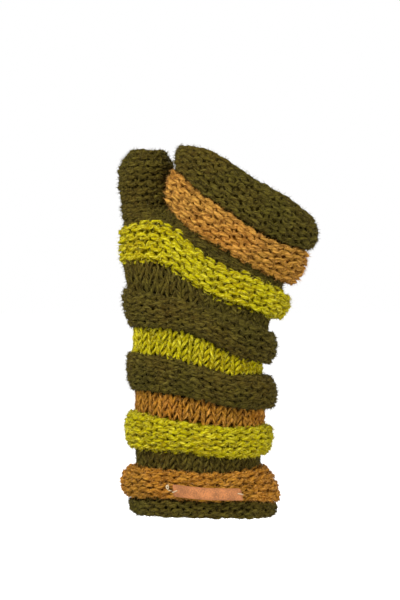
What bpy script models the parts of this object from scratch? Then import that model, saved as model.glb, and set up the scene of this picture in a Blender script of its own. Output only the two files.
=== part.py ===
"""Knitted arm warmer for a right hand: a striped tube from the forearm to the fingers.

The tube is knitted in the round. Plain stripes of stocking stitch lie flat, stripes with
the purl side out swell into hollow welts, and the bound-off edges curl inwards.
Sizes in the tables are millimetres. +Z runs from the cuff to the fingers, -Y is the back
of the hand, -X the thumb side, and the origin is the middle of the wearer's wrist.
"""

import math
from collections import namedtuple

import bmesh
import bpy
import numpy as np

MM = 0.001

# ---------------------------------------------------------------- driving dimensions

WALL = 3.0            # thickness of the knitted wall
SEAM_GAP = 0.3        # between two stripes
AROUND = 40           # facets round the tube
THUMB_AROUND = 24     # facets round the thumb
THUMB_SHARE = 12      # facets of the widest ring that go over into the thumb
FULLNESS = 2.25       # 2 is an ellipse, more is a fuller section
BACK_LIFT = 0.6       # how much of a seam's lift its palm side has

OLIVE = (0.070, 0.050, 0.010)
OCHRE = (0.300, 0.120, 0.018)
LIME = (0.340, 0.290, 0.014)
LEATHER = (0.600, 0.290, 0.110)

# Seams run round the outer face of the wall, in the notches between the stripes.
# tilt lowers the little finger side (degrees), thumb_back sets the thumb side back,
# and the lifts raise the seam a quarter, half and three quarters of the way across.
Seam = namedtuple("Seam", "centre_x centre_y centre_z half_width half_depth tilt "
                          "thumb_back lift_thumb lift_middle lift_far")

SEAMS = {
    "cuff_rim":   Seam(2.2, 0.0, -72.5, 41.8, 32.5, 1.1, 0.0, 0.3, 0.3, 0.3),
    "cuff":       Seam(2.1, 0.0, -62.2, 42.8, 33.0, 2.0, 0.0, 2.1, 1.2, 2.0),
    "forearm_1":  Seam(-1.2, 0.0, -42.3, 37.8, 29.0, 0.0, 0.0, -1.4, -2.7, -2.9),
    "forearm_2":  Seam(-1.2, 0.0, -32.4, 38.5, 29.0, 3.4, 0.0, 0.8, 0.0, -1.5),
    "forearm_3":  Seam(0.0, 0.0, -13.3, 39.9, 28.5, 5.8, 0.0, -1.5, -2.7, -2.9),
    "wrist_1":    Seam(0.0, 0.0, 0.0, 40.1, 28.0, 8.0, 0.0, 1.0, 0.4, -1.7),
    "wrist_2":    Seam(-1.6, 0.0, 20.3, 40.5, 27.5, 9.0, 0.5, 0.2, -1.3, -3.2),
    "wrist_3":    Seam(-1.2, -0.5, 33.2, 41.1, 27.0, 15.3, 1.0, 4.9, 6.0, 1.4),
    "palm_1":     Seam(-1.8, -1.0, 53.3, 44.5, 25.0, 16.4, 2.5, 1.8, 3.3, 2.7),
    "palm_2":     Seam(-2.4, 0.0, 66.7, 49.0, 23.5, 20.8, 5.0, 7.9, 2.3, 0.4),
    "palm_3":     Seam(1.2, 1.0, 83.4, 53.3, 22.5, 21.5, 7.5, 11.6, 3.1, 1.9),
    "knuckle_1":  Seam(17.2, -5.0, 95.5, 42.3, 19.5, 33.8, 1.0, -6.0, -4.5, -3.5),
    "knuckle_2":  Seam(24.5, -6.0, 115.3, 44.8, 19.5, 31.7, 0.0, -5.0, -5.8, -6.2),
    "finger_rim": Seam(28.5, -6.0, 132.8, 45.8, 17.5, 29.1, 0.0, 5.9, 3.7, 3.8),
    "thumb_1":    Seam(-33.8, 13.0, 118.3, 15.2, 15.0, 0.0, 0.0, 0.0, 0.0, 0.0),
    "thumb_2":    Seam(-34.3, 14.8, 132.0, 16.2, 15.6, 0.0, 0.0, 0.0, 0.0, 0.0),
    "thumb_rim":  Seam(-32.6, 15.6, 153.8, 8.8, 9.0, 0.0, 0.0, 0.0, 0.0, 0.0),
}

# Stripes from the cuff up. first is the seam that a stripe grows from, last the seam or
# the rim that it ends at. The bulges are how far it stands out beyond those two on the
# thumb side, on the back of the hand and on the little finger side. A welt's section is
# an arc of twice its sweep (degrees): past 90 it hangs over its neighbours.
Stripe = namedtuple("Stripe", "name kind first last sweep bulge_thumb bulge_back bulge_far "
                              "colour")

STRIPES = (
    Stripe("cuff_edge_roll", "edge", "cuff", "cuff_rim", 90.0, 3.8, 3.0, 3.0, OLIVE),
    Stripe("ochre_welt_lower", "welt", "cuff", "forearm_1", 110.0, 9.4, 8.5, 7.2, OCHRE),
    Stripe("olive_band_lower", "plain", "forearm_1", "forearm_2", 0.0, 0.0, 0.3, 0.0, OLIVE),
    Stripe("lime_welt_lower", "welt", "forearm_2", "forearm_3", 114.0, 7.0, 6.6, 6.6, LIME),
    Stripe("ochre_band", "plain", "forearm_3", "wrist_1", 0.0, 0.0, 0.3, 0.0, OCHRE),
    Stripe("olive_welt_lower", "welt", "wrist_1", "wrist_2", 114.0, 4.8, 6.6, 8.6, OLIVE),
    Stripe("lime_band", "plain", "wrist_2", "wrist_3", 0.0, 0.0, 0.3, 0.0, LIME),
    Stripe("olive_welt_upper", "welt", "wrist_3", "palm_1", 114.0, 5.0, 6.6, 8.0, OLIVE),
    Stripe("olive_band_upper", "plain", "palm_1", "palm_2", 0.0, 0.0, 0.3, 0.0, OLIVE),
    Stripe("lime_welt_upper", "welt", "palm_2", "palm_3", 114.0, 2.2, 5.0, 7.8, LIME),
    Stripe("ochre_welt_upper", "welt", "knuckle_1", "knuckle_2", 110.0, 5.8, 6.0, 8.2, OCHRE),
    Stripe("finger_edge_welt", "edge", "knuckle_2", "finger_rim", 90.0, 3.2, 6.0, 8.0, OLIVE),
)

EDGE_LIP = 6.0            # how far the finger and cuff edges curl inwards
THUMB_LIP = 1.6           # the thumb's edge only turns in, close to the thumb
THUMB_BULGE = 4.6
WELT_STEPS = 7            # facets over a welt
CURL_STEPS = 8            # facets over a curled edge
CURL_END = 150.0          # where the curl ends, 90 being its crest (degrees)

WEB_DROP = 3.5            # how far the fork of hand and thumb lies below their seams
FORK_STEPS = 2            # facets from the widest ring to the fork, and from it on

LABEL_WIDTH = 41.0
LABEL_HEIGHT = 7.2
LABEL_THICKNESS = 1.5
LABEL_CROWN = 0.6         # how far its long edges bend back to the welt
LABEL_SEAT = 0.5          # from the welt's face to the back of the label's middle
LABEL_SHIFT = 4.6         # towards the little finger side
LABEL_DROP = 25.0         # below the middle of the welt it is sewn to (degrees of its arc)
LABEL_TILT = 2.2          # degrees
LABEL_COLUMNS = 14


# ---------------------------------------------------------------- scene and materials

def clear_scene():
    for item in list(bpy.data.objects):
        bpy.data.objects.remove(item, do_unlink=True)


def principled(name, colour, roughness):
    material = bpy.data.materials.new(name)
    material.use_nodes = True
    shader = material.node_tree.nodes["Principled BSDF"]
    shader.inputs["Base Color"].default_value = (*colour, 1.0)
    shader.inputs["Roughness"].default_value = roughness
    shader.inputs["Metallic"].default_value = 0.0
    material.diffuse_color = (*colour, 1.0)
    return material


def add_object(name, points, faces, material, collection):
    """Makes one closed piece from points in millimetres."""
    mesh = bpy.data.meshes.new(name)
    mesh.from_pydata([tuple(point * MM) for point in points], [], faces)
    work = bmesh.new()
    work.from_mesh(mesh)
    bmesh.ops.recalc_face_normals(work, faces=work.faces)
    work.to_mesh(mesh)
    work.free()
    mesh.shade_smooth()
    mesh.set_sharp_from_angle(angle=math.radians(50.0))
    mesh.materials.append(material)
    piece = bpy.data.objects.new(name, mesh)
    collection.objects.link(piece)
    return piece


# ---------------------------------------------------------------- rings and seams

def signed_power(values, exponent):
    return np.sign(values) * np.abs(values) ** exponent


def unit_rows(rows):
    return rows / np.linalg.norm(rows, axis=1, keepdims=True)


def section_angles(half_width, half_depth, turns):
    """Angles at the given parts of a turn, measured along the section's edge."""
    fine = np.linspace(0.0, 2.0 * math.pi, 721)
    across = half_width * signed_power(np.cos(fine), 2.0 / FULLNESS)
    deep = half_depth * signed_power(np.sin(fine), 2.0 / FULLNESS)
    steps = np.hypot(np.diff(across), np.diff(deep))
    length = np.concatenate(([0.0], np.cumsum(steps)))
    return np.interp(turns * length[-1], length, fine)


def lift_across(seam, across):
    """A smooth lift, nothing at both ends, with three given values between them."""
    place = (across + 1.0) / 2.0
    values = (seam.lift_thumb, seam.lift_middle, seam.lift_far)
    total = np.zeros_like(across)
    for order in (1, 2, 3):
        share = sum(value * math.sin(order * math.pi * (step + 1) / 4.0)
                    for step, value in enumerate(values)) / 2.0
        total += share * np.sin(order * math.pi * place)
    return total


def ring(seam, turns):
    """Points on a seam and outward directions, from the far side round by the palm."""
    angles = section_angles(seam.half_width, seam.half_depth, np.asarray(turns) % 1.0)
    across = signed_power(np.cos(angles), 2.0 / FULLNESS)
    deep = signed_power(np.sin(angles), 2.0 / FULLNESS)
    tilt = math.radians(-seam.tilt)
    right = np.array((math.cos(tilt), 0.0, math.sin(tilt)))
    up = np.array((-math.sin(tilt), 0.0, math.cos(tilt)))
    back = np.array((0.0, 1.0, 0.0))
    centre = np.array((seam.centre_x, seam.centre_y, seam.centre_z))
    lift = lift_across(seam, across) * np.where(deep > 0.0, BACK_LIFT, 1.0)
    points = (centre
              + np.outer(seam.half_width * across, right)
              + np.outer(seam.half_depth * deep - seam.thumb_back * across, back)
              + np.outer(lift, up))
    outward = (np.outer(signed_power(across, FULLNESS - 1.0) / seam.half_width, right)
               + np.outer(signed_power(deep, FULLNESS - 1.0) / seam.half_depth, back))
    return points, unit_rows(outward), across


def even_turns(count):
    return np.arange(count) / count


# ---------------------------------------------------------------- sections of a stripe
# A section is a closed list of (along, out, swell). along runs from 0 at the first seam
# to 1 at the last, out is millimetres beyond the outer face at the seams, and swell is
# the share of the stripe's bulge that is added to it.

def plain_section():
    outer = [(0.0, 0.0, 0.0), (0.5, 0.0, 1.0), (1.0, 0.0, 0.0)]
    inner = [(1.0, -WALL, 0.0), (0.0, -WALL, 0.0)]
    return outer + inner


def welt_arc(sweep, degrees):
    """A place on the arc over a welt, 0 being its middle."""
    angle = math.radians(degrees)
    end = math.radians(sweep)
    along = 0.5 + 0.5 * math.sin(angle) / math.sin(end)
    swell = (math.cos(angle) - math.cos(end)) / (1.0 - math.cos(end))
    return along, swell


def welt_section(sweep, height):
    outer = []
    for step in range(WELT_STEPS + 1):
        along, swell = welt_arc(sweep, sweep * (2.0 * step / WELT_STEPS - 1.0))
        outer.append((along, 0.0, swell))
    inner = [(1.0, -WALL, 0.0)]
    reach = 0.5 - WALL / height
    for degrees in (90.0, 45.0, 0.0, -45.0, -90.0):
        angle = math.radians(degrees)
        inner.append((0.5 + reach * math.sin(angle), -WALL, math.cos(angle)))
    inner.append((0.0, -WALL, 0.0))
    return outer + inner


def curl_swell(angle, creased):
    """Share of a curled edge's bulge. Without a crease it leaves its seam smoothly."""
    if creased or angle > 0.0:
        return max(math.cos(angle), 0.0)
    share = 1.0 + math.sin(angle)
    return share * share * (3.0 - 2.0 * share)


def curl_section(height, lip, creased=True):
    """A stripe whose far edge curls over its crest and down inside."""
    outer = []
    for step in range(CURL_STEPS + 1):
        angle = math.radians(-90.0 + (CURL_END + 90.0) * step / CURL_STEPS)
        inwards = lip * min(math.cos(angle), 0.0)
        outer.append((0.5 + 0.5 * math.sin(angle), inwards, curl_swell(angle, creased)))
    lip_along = outer[-1][0]
    lip_out = outer[-1][1]
    thickness = min(WALL, 0.55 * lip)
    inner = [(lip_along, lip_out + thickness, 0.0)]
    reach = 0.5 - WALL / height
    # a lip narrower than the wall lies against it, with no groove between them
    steps = (80.0, 40.0, 0.0, -45.0, -90.0) if lip > WALL else (30.0, 0.0, -45.0, -90.0)
    for degrees in steps:
        angle = math.radians(degrees)
        inner.append((0.5 + reach * math.sin(angle), -WALL, curl_swell(angle, creased)))
    inner.append((0.0, -WALL, 0.0))
    return outer + inner


def bulge_round(stripe, across):
    """The stripe's bulge at each place across the tube."""
    side = (stripe.bulge_far - stripe.bulge_thumb) / 2.0
    ends = (stripe.bulge_far + stripe.bulge_thumb) / 2.0 - stripe.bulge_back
    return stripe.bulge_back + side * across + ends * across ** 2


def stripe_frame(first, last, turns):
    """Both seams of a stripe, half a seam gap apart from their neighbours."""
    low, low_out, low_across = ring(first, turns)
    high, high_out, high_across = ring(last, turns)
    inset = unit_rows(high - low) * SEAM_GAP / 2.0
    return low + inset, high - inset, low_out, high_out, (low_across + high_across) / 2.0


def stripe_points(frame, along, out, bulge):
    """One line of points round a stripe."""
    low, high, low_out, high_out, _ = frame
    place = min(max(along, 0.0), 1.0)
    outward = unit_rows(low_out * (1.0 - place) + high_out * place)
    reach = (out + bulge)[:, None] if np.ndim(bulge) else out
    return low * (1.0 - along) + high * along + outward * reach


def mean_height(first, last, turns):
    low, high = ring(first, turns)[0], ring(last, turns)[0]
    return float(np.mean(np.linalg.norm(high - low, axis=1)))


def loop_faces(lines, around):
    """Quads of a closed section carried round a closed tube."""
    faces = []
    for line in range(lines):
        following = (line + 1) % lines
        for place in range(around):
            beside = (place + 1) % around
            faces.append((line * around + place, line * around + beside,
                          following * around + beside, following * around + place))
    return faces


def tube_piece(stripe, section, around, material, collection):
    turns = even_turns(around)
    frame = stripe_frame(SEAMS[stripe.first], SEAMS[stripe.last], turns)
    bulge = bulge_round(stripe, frame[4])
    lines = [stripe_points(frame, along, out, bulge * swell) for along, out, swell in section]
    points = np.concatenate(lines)
    faces = loop_faces(len(lines), around)
    return add_object(stripe.name, points, faces, material, collection)


def build_stripes(materials, collection):
    for stripe in STRIPES:
        height = mean_height(SEAMS[stripe.first], SEAMS[stripe.last], even_turns(AROUND))
        if stripe.kind == "plain":
            section = plain_section()
        elif stripe.kind == "welt":
            section = welt_section(stripe.sweep, height)
        else:
            section = curl_section(height, EDGE_LIP)
        tube_piece(stripe, section, AROUND, materials[stripe.colour], collection)


# ---------------------------------------------------------------- fork and thumb

def between(first, last, steps):
    """Lines of points from first up to, but not including, last."""
    return [first + (last - first) * step / steps for step in range(steps)]


def fork_surface():
    """The outer face where the widest ring parts into the hand and the thumb."""
    turns = even_turns(AROUND)
    thumb_turns = even_turns(THUMB_AROUND)
    palm, palm_out, _ = ring(SEAMS["palm_3"], turns)
    hand, hand_out, _ = ring(SEAMS["knuckle_1"], turns)
    thumb, thumb_out, _ = ring(SEAMS["thumb_1"], thumb_turns)

    fork_start = (AROUND - THUMB_SHARE) // 2
    fork_end = fork_start + THUMB_SHARE
    quarter = THUMB_SHARE // 2

    # the fork's own line, from the palm side over the web to the back of the hand
    web = []
    for step in range(THUMB_SHARE + 1):
        on_hand = hand[fork_start + step]
        on_thumb = thumb[(quarter - step) % THUMB_AROUND]
        web.append((on_hand + on_thumb) / 2.0 - np.array((0.0, 0.0, WEB_DROP)))

    # the rest of the ring at the fork's height
    level = []
    for place in range(AROUND):
        if place < fork_start or place > fork_end:
            level.append((palm[place] + hand[place]) / 2.0)
        elif place == fork_start:
            level.append(web[0])
        elif place == fork_end:
            level.append(web[-1])
        else:
            on_thumb = thumb[(place - fork_start + quarter) % THUMB_AROUND]
            level.append((palm[place] + on_thumb) / 2.0)
    level = np.array(level)

    points = []
    faces = []
    fixed = {}

    def add_line(line, normals=None):
        start = len(points)
        points.extend(line)
        if normals is not None:
            for step, normal in enumerate(normals):
                fixed[start + step] = normal
        return list(range(start, start + len(line)))

    def join(lower, upper):
        for step in range(len(lower)):
            beside = (step + 1) % len(lower)
            faces.append((lower[step], lower[beside], upper[beside], upper[step]))

    def seam_inset(line, towards):
        return line + unit_rows(towards - line) * SEAM_GAP / 2.0

    # from the widest ring up to the level of the fork
    lines = between(seam_inset(palm, level), level, FORK_STEPS)
    below = add_line(lines[0], palm_out)
    for line in lines[1:]:
        above = add_line(line)
        join(below, above)
        below = above
    level_ids = add_line(level)
    join(below, level_ids)
    web_ids = [level_ids[fork_start]] + add_line(web[1:-1]) + [level_ids[fork_end]]

    # the hand's leg and the thumb's leg share the fork's line
    hand_ids = level_ids[:fork_start] + web_ids + level_ids[fork_end + 1:]
    thumb_ids = web_ids[quarter::-1] + level_ids[fork_start + 1:fork_end]
    thumb_ids += web_ids[:quarter:-1]
    for start_ids, rim, rim_out in ((hand_ids, hand, hand_out), (thumb_ids, thumb, thumb_out)):
        start = np.array([points[index] for index in start_ids])
        rim = seam_inset(rim, start)
        below = start_ids
        for line in between(start, rim, FORK_STEPS)[1:]:
            above = add_line(line)
            join(below, above)
            below = above
        above = add_line(rim, rim_out)
        join(below, above)
    return np.array(points), faces, fixed


def vertex_normals(points, faces):
    normals = np.zeros_like(points)
    for face in faces:
        first, second, third, fourth = (points[index] for index in face)
        normal = np.cross(third - first, fourth - second)
        for index in face:
            normals[index] += normal
    return unit_rows(normals)


def relax(points, faces, fixed, rounds):
    """Evens out the points between the rims."""
    neighbours = [set() for _ in points]
    for face in faces:
        for step, index in enumerate(face):
            neighbours[index].update((face[step - 1], face[(step + 1) % 4]))
    for _ in range(rounds):
        moved = points.copy()
        for index, near in enumerate(neighbours):
            if index not in fixed:
                moved[index] = (points[index] + np.mean(points[sorted(near)], axis=0)) / 2.0
        points = moved
    return points


def build_fork(material, collection):
    points, faces, fixed = fork_surface()
    points = relax(points, faces, fixed, rounds=4)
    normals = vertex_normals(points, faces)
    for index, normal in fixed.items():
        if np.dot(normals[index], normal) < 0.0:
            raise ValueError("The fork's face is inside out")
        normals[index] = normal
    inner = points - normals * WALL
    count = len(points)
    edges = {}
    for face in faces:
        for step in range(4):
            edge = (face[step], face[(step + 1) % 4])
            edges[edge] = edges.get(edge, 0) + 1
    rims = [edge for edge in edges if (edge[1], edge[0]) not in edges]
    solid = list(faces)
    solid += [tuple(index + count for index in reversed(face)) for face in faces]
    solid += [(edge[1], edge[0], edge[0] + count, edge[1] + count) for edge in rims]
    add_object("olive_fork", np.concatenate((points, inner)), solid, material, collection)


def build_thumb(material, collection):
    tube = Stripe("thumb_tube", "plain", "thumb_1", "thumb_2", 0.0, 0.0, 0.3, 0.0, OLIVE)
    tube_piece(tube, plain_section(), THUMB_AROUND, material, collection)
    edge = Stripe("thumb_edge_roll", "edge", "thumb_2", "thumb_rim", 90.0,
                  THUMB_BULGE, THUMB_BULGE, THUMB_BULGE, OLIVE)
    height = mean_height(SEAMS[edge.first], SEAMS[edge.last], even_turns(THUMB_AROUND))
    section = curl_section(height, THUMB_LIP, creased=False)
    tube_piece(edge, section, THUMB_AROUND, material, collection)


# ---------------------------------------------------------------- label

def welt_front(stripe, drop, shift, width, columns):
    """Points along the front of a welt, evenly over a width, and the way up from each."""
    frame = stripe_frame(SEAMS[stripe.first], SEAMS[stripe.last], np.linspace(0.6, 0.9, 181))
    bulge = bulge_round(stripe, frame[4])
    along, swell = welt_arc(stripe.sweep, -drop)
    line = stripe_points(frame, along, 0.0, bulge * swell)
    along, swell = welt_arc(stripe.sweep, 5.0 - drop)
    upwards = unit_rows(stripe_points(frame, along, 0.0, bulge * swell) - line)
    steps = np.linalg.norm(np.diff(line, axis=0), axis=1)
    length = np.concatenate(([0.0], np.cumsum(steps)))
    middle = np.interp(0.0, line[:, 0], length) + shift
    places = middle + np.linspace(-0.5, 0.5, columns + 1) * width
    on_line = np.array([np.interp(places, length, line[:, axis]) for axis in range(3)]).T
    on_way = np.array([np.interp(places, length, upwards[:, axis]) for axis in range(3)]).T
    return on_line, unit_rows(on_way)


def build_label(material, collection):
    """A leather strip that follows the front of the lowest welt."""
    stripe = next(row for row in STRIPES if row.name == "ochre_welt_lower")
    middle, upwards = welt_front(stripe, LABEL_DROP, LABEL_SHIFT, LABEL_WIDTH, LABEL_COLUMNS)
    count = len(middle)
    places = np.linspace(-0.5, 0.5, count)[:, None] * LABEL_WIDTH
    middle = middle - upwards * places * math.tan(math.radians(LABEL_TILT))
    sideways = np.gradient(middle, axis=0)
    outward = unit_rows(np.cross(sideways, upwards))
    upwards = unit_rows(np.cross(outward, sideways))

    half_height = LABEL_HEIGHT / 2.0
    back, front = LABEL_SEAT, LABEL_SEAT + LABEL_THICKNESS
    corners = ((-half_height, back - LABEL_CROWN), (0.0, back),
               (half_height, back - LABEL_CROWN), (half_height, front - LABEL_CROWN),
               (0.0, front), (-half_height, front - LABEL_CROWN))
    lines = [middle + upwards * height + outward * out for height, out in corners]
    sides = len(lines)
    faces = []
    for side in range(sides):
        following = (side + 1) % sides
        for column in range(count - 1):
            faces.append((side * count + column, side * count + column + 1,
                          following * count + column + 1, following * count + column))
    for column in (0, count - 1):
        lower, middle_in, upper, upper_out, middle_out, lower_out = (
            side * count + column for side in range(sides))
        faces.append((lower, middle_in, middle_out, lower_out))
        faces.append((middle_in, upper, upper_out, middle_out))
    add_object("leather_label", np.concatenate(lines), faces, material, collection)


# ---------------------------------------------------------------- main

def main():
    clear_scene()
    collection = bpy.data.collections.new("knitted_arm_warmer")
    bpy.context.scene.collection.children.link(collection)
    materials = {
        OLIVE: principled("olive_wool", OLIVE, 0.95),
        OCHRE: principled("ochre_wool", OCHRE, 0.95),
        LIME: principled("lime_wool", LIME, 0.95),
    }
    leather = principled("tan_leather", LEATHER, 0.55)
    build_stripes(materials, collection)
    build_fork(materials[OLIVE], collection)
    build_thumb(materials[OLIVE], collection)
    build_label(leather, collection)


main()
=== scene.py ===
"""Knitted arm warmer: yarn, cloth, leather label and stage round the plain frame.

Every stripe is a thin cloth, coloured dark as painted shade between the loops, that the
yarn is worked through: one closed course of loops for each row, laid on the stripe's
surface. Tables are in millimetres, objects in metres.
"""

import math
from collections import namedtuple

import bmesh
import bpy
import numpy as np
from bpy.props import FloatProperty, FloatVectorProperty, IntProperty, PointerProperty
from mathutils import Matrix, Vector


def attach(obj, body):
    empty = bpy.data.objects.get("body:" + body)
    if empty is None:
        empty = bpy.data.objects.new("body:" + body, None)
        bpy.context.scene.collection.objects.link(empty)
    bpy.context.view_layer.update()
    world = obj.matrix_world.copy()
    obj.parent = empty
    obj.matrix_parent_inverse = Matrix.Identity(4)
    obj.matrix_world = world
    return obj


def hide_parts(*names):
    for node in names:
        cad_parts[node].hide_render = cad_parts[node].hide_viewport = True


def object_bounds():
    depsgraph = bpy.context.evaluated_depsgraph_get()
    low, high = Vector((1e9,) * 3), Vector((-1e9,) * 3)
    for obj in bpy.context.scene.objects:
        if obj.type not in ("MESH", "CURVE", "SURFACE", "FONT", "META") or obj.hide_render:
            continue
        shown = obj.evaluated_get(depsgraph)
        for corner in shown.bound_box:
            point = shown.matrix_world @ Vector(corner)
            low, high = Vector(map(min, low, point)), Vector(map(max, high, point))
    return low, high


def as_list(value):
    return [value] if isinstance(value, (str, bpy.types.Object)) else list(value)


bl_info = {
    "name": "Knitted Arm Warmer",
    "version": (1, 0, 0),
    "blender": (4, 5, 0),
    "location": "View3D > Sidebar > Arm Warmer",
    "description": "Knits the striped arm warmer, course by course, and sets its stage",
    "category": "Object",
}

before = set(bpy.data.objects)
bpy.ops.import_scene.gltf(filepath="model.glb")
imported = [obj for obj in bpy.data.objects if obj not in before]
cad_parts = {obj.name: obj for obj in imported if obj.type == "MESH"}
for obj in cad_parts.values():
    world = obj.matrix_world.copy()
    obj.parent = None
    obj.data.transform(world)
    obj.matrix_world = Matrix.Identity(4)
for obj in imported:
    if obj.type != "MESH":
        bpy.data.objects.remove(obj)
frame_box = [[float(value) for value in corner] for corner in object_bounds()]

MM = 0.001
FULL_TURN = 2.0 * math.pi
BODY = "root"

# ---------------------------------------------------------------- the frame's own sizes

FULLNESS = 2.25           # 2 is an ellipse, more is a fuller section
BACK_LIFT = 0.6           # how much of a seam's lift its palm side has
AROUND = 40               # columns of the fork
THUMB_AROUND = 24
THUMB_SHARE = 12          # columns of the widest ring that go over into the thumb
SEAM_GAP = 0.3
WEB_DROP = 3.5            # how far the fork of hand and thumb lies below their seams
FORK_STEPS = 2
FORK_ROUNDS = 4
EDGE_LIP = 6.0            # how far the finger and cuff edges curl inwards
THUMB_LIP = 1.6           # the thumb's edge only turns in, close to the thumb
THUMB_BULGE = 4.6
CURL_END = 150.0          # where a curl ends, 90 being its crest (degrees)

# A seam is a ring: its middle, half its width and depth, how far it slants up to the thumb
# (degrees), how far its thumb side is set back to the palm, and its lifts at a quarter, a
# half and three quarters of the way across.
Seam = namedtuple("Seam", "centre_x centre_y centre_z half_width half_depth tilt "
                          "thumb_back lift_thumb lift_middle lift_far",
                  defaults=(0.0, 0.0, 0.0, 0.0, 0.0))

SEAMS = {
    "cuff_rim":   Seam(2.2, 0.0, -72.5, 41.8, 32.5, 1.1, 0.0, 0.3, 0.3, 0.3),
    "cuff":       Seam(2.1, 0.0, -62.2, 42.8, 33.0, 2.0, 0.0, 2.1, 1.2, 2.0),
    "forearm_1":  Seam(-1.2, 0.0, -42.3, 37.8, 29.0, 0.0, 0.0, -1.4, -2.7, -2.9),
    "forearm_2":  Seam(-1.2, 0.0, -32.4, 38.5, 29.0, 3.4, 0.0, 0.8, 0.0, -1.5),
    "forearm_3":  Seam(0.0, 0.0, -13.3, 39.9, 28.5, 5.8, 0.0, -1.5, -2.7, -2.9),
    "wrist_1":    Seam(0.0, 0.0, 0.0, 40.1, 28.0, 8.0, 0.0, 1.0, 0.4, -1.7),
    "wrist_2":    Seam(-1.6, 0.0, 20.3, 40.5, 27.5, 9.0, 0.5, 0.2, -1.3, -3.2),
    "wrist_3":    Seam(-1.2, -0.5, 33.2, 41.1, 27.0, 15.3, 1.0, 4.9, 6.0, 1.4),
    "palm_1":     Seam(-1.8, -1.0, 53.3, 44.5, 25.0, 16.4, 2.5, 1.8, 3.3, 2.7),
    "palm_2":     Seam(-2.4, 0.0, 66.7, 49.0, 23.5, 20.8, 5.0, 7.9, 2.3, 0.4),
    "palm_3":     Seam(1.2, 1.0, 83.4, 53.3, 22.5, 21.5, 7.5, 11.6, 3.1, 1.9),
    "knuckle_1":  Seam(17.2, -5.0, 95.5, 42.3, 19.5, 33.8, 1.0, -6.0, -4.5, -3.5),
    "knuckle_2":  Seam(24.5, -6.0, 115.3, 44.8, 19.5, 31.7, 0.0, -5.0, -5.8, -6.2),
    "finger_rim": Seam(28.5, -6.0, 132.8, 45.8, 17.5, 29.1, 0.0, 5.9, 3.7, 3.8),
    "thumb_1":    Seam(-33.8, 13.0, 118.3, 15.2, 15.0),
    "thumb_2":    Seam(-34.3, 14.8, 132.0, 16.2, 15.6),
    "thumb_rim":  Seam(-32.6, 15.6, 153.8, 8.8, 9.0),
}

# The bulges are how far a stripe stands out beyond its two seams on the thumb side, on
# the back of the hand and on the little finger side. A welt's section is an arc of twice
# its sweep (degrees). An edge curls in by its lip.
Stripe = namedtuple("Stripe", "name kind wool first last bulge_thumb bulge_back bulge_far "
                              "sweep lip", defaults=(0.0, 0.3, 0.0, 114, 0.0))

STRIPES = (
    Stripe("cuff_edge_roll", "edge", "olive", "cuff", "cuff_rim", 3.8, 3.0, 3.0, lip=EDGE_LIP),
    Stripe("ochre_welt_lower", "welt", "ochre", "cuff", "forearm_1", 9.4, 8.5, 7.2, 110),
    Stripe("olive_band_lower", "plain", "olive", "forearm_1", "forearm_2"),
    Stripe("lime_welt_lower", "welt", "lime", "forearm_2", "forearm_3", 7.0, 6.6, 6.6),
    Stripe("ochre_band", "plain", "ochre", "forearm_3", "wrist_1"),
    Stripe("olive_welt_lower", "welt", "olive", "wrist_1", "wrist_2", 4.8, 6.6, 8.6),
    Stripe("lime_band", "plain", "lime", "wrist_2", "wrist_3"),
    Stripe("olive_welt_upper", "welt", "olive", "wrist_3", "palm_1", 5.0, 6.6, 8.0),
    Stripe("olive_band_upper", "plain", "olive", "palm_1", "palm_2"),
    Stripe("lime_welt_upper", "welt", "lime", "palm_2", "palm_3", 2.2, 5.0, 7.8),
    Stripe("ochre_welt_upper", "welt", "ochre", "knuckle_1", "knuckle_2", 5.8, 6.0, 8.2, 110),
    Stripe("finger_edge_welt", "edge", "olive", "knuckle_2", "finger_rim", 3.2, 6.0, 8.0,
           lip=EDGE_LIP),
    Stripe("thumb_tube", "plain", "olive", "thumb_1", "thumb_2"),
    Stripe("thumb_edge_roll", "edge", "olive", "thumb_2", "thumb_rim", THUMB_BULGE,
           THUMB_BULGE, THUMB_BULGE, lip=THUMB_LIP),
)
BY_NAME = {stripe.name: stripe for stripe in STRIPES}

LABEL_WIDTH = 41.0
LABEL_HEIGHT = 7.2
LABEL_CROWN = 0.6         # how far its long edges bend back to the welt
LABEL_SEAT = 0.5          # between the welt and the label
LABEL_SHIFT = 4.6         # from the welt's middle, towards the little finger
LABEL_DROP = 25.0         # from the welt's crest down to its middle (degrees)
LABEL_TILT = 2.2

# ---------------------------------------------------------------- sizes of what is added

STITCHES = 32             # loops round the tube, the same from the cuff to the fork
HAND_STITCHES = 28        # and past it
THUMB_STITCHES = 15
FORK_STITCHES = 34
FORK_FLAT = (0.25, 0.04)  # what the fork is cut from, laid flat (metres)
FORK_LOOP = (5.1, 3.55)   # width and height of one of its loops

MARGIN_ROWS = 0.8         # how many rows a surface goes on beyond its first and last one
SURFACE_COLUMNS = 160
PLAIN_LINES = 9           # lines of points up a plain surface
ROUND_LINES = 33          # and up a round one
ARC_POINTS = 121          # points by which a stripe's section is measured
EDGE_POINTS = 721         # and the line round a seam

TWISTS = 0.83             # turns of the plies in each loop
STEPS = 16                # points along each loop
SIDES = 6                 # facets round the yarn, two for each of its plies
YARN_PER_STITCH = 3.0     # length of yarn in a loop, in stitch widths
BAKE_GAP = 0.03           # between two stretches of yarn on the bake map
KNIT_DEPTH = 1.25         # how much deeper a loop is where the right side is out
PLY_RADII = (0.34, 0.53)  # inner and outer radius of the yarn's star, in its thickness
ROW_TWIST = 1.3           # how far the twist turns from one row to the next (radians)
THICKER = 0.5             # how much the yarn gets thicker and thinner
GUIDE_SPARE = 4           # columns that a guide goes on past its own start, on each side
GUIDE_SHARE = 0.99        # how much of its margin is used, so as to stay on it

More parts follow.
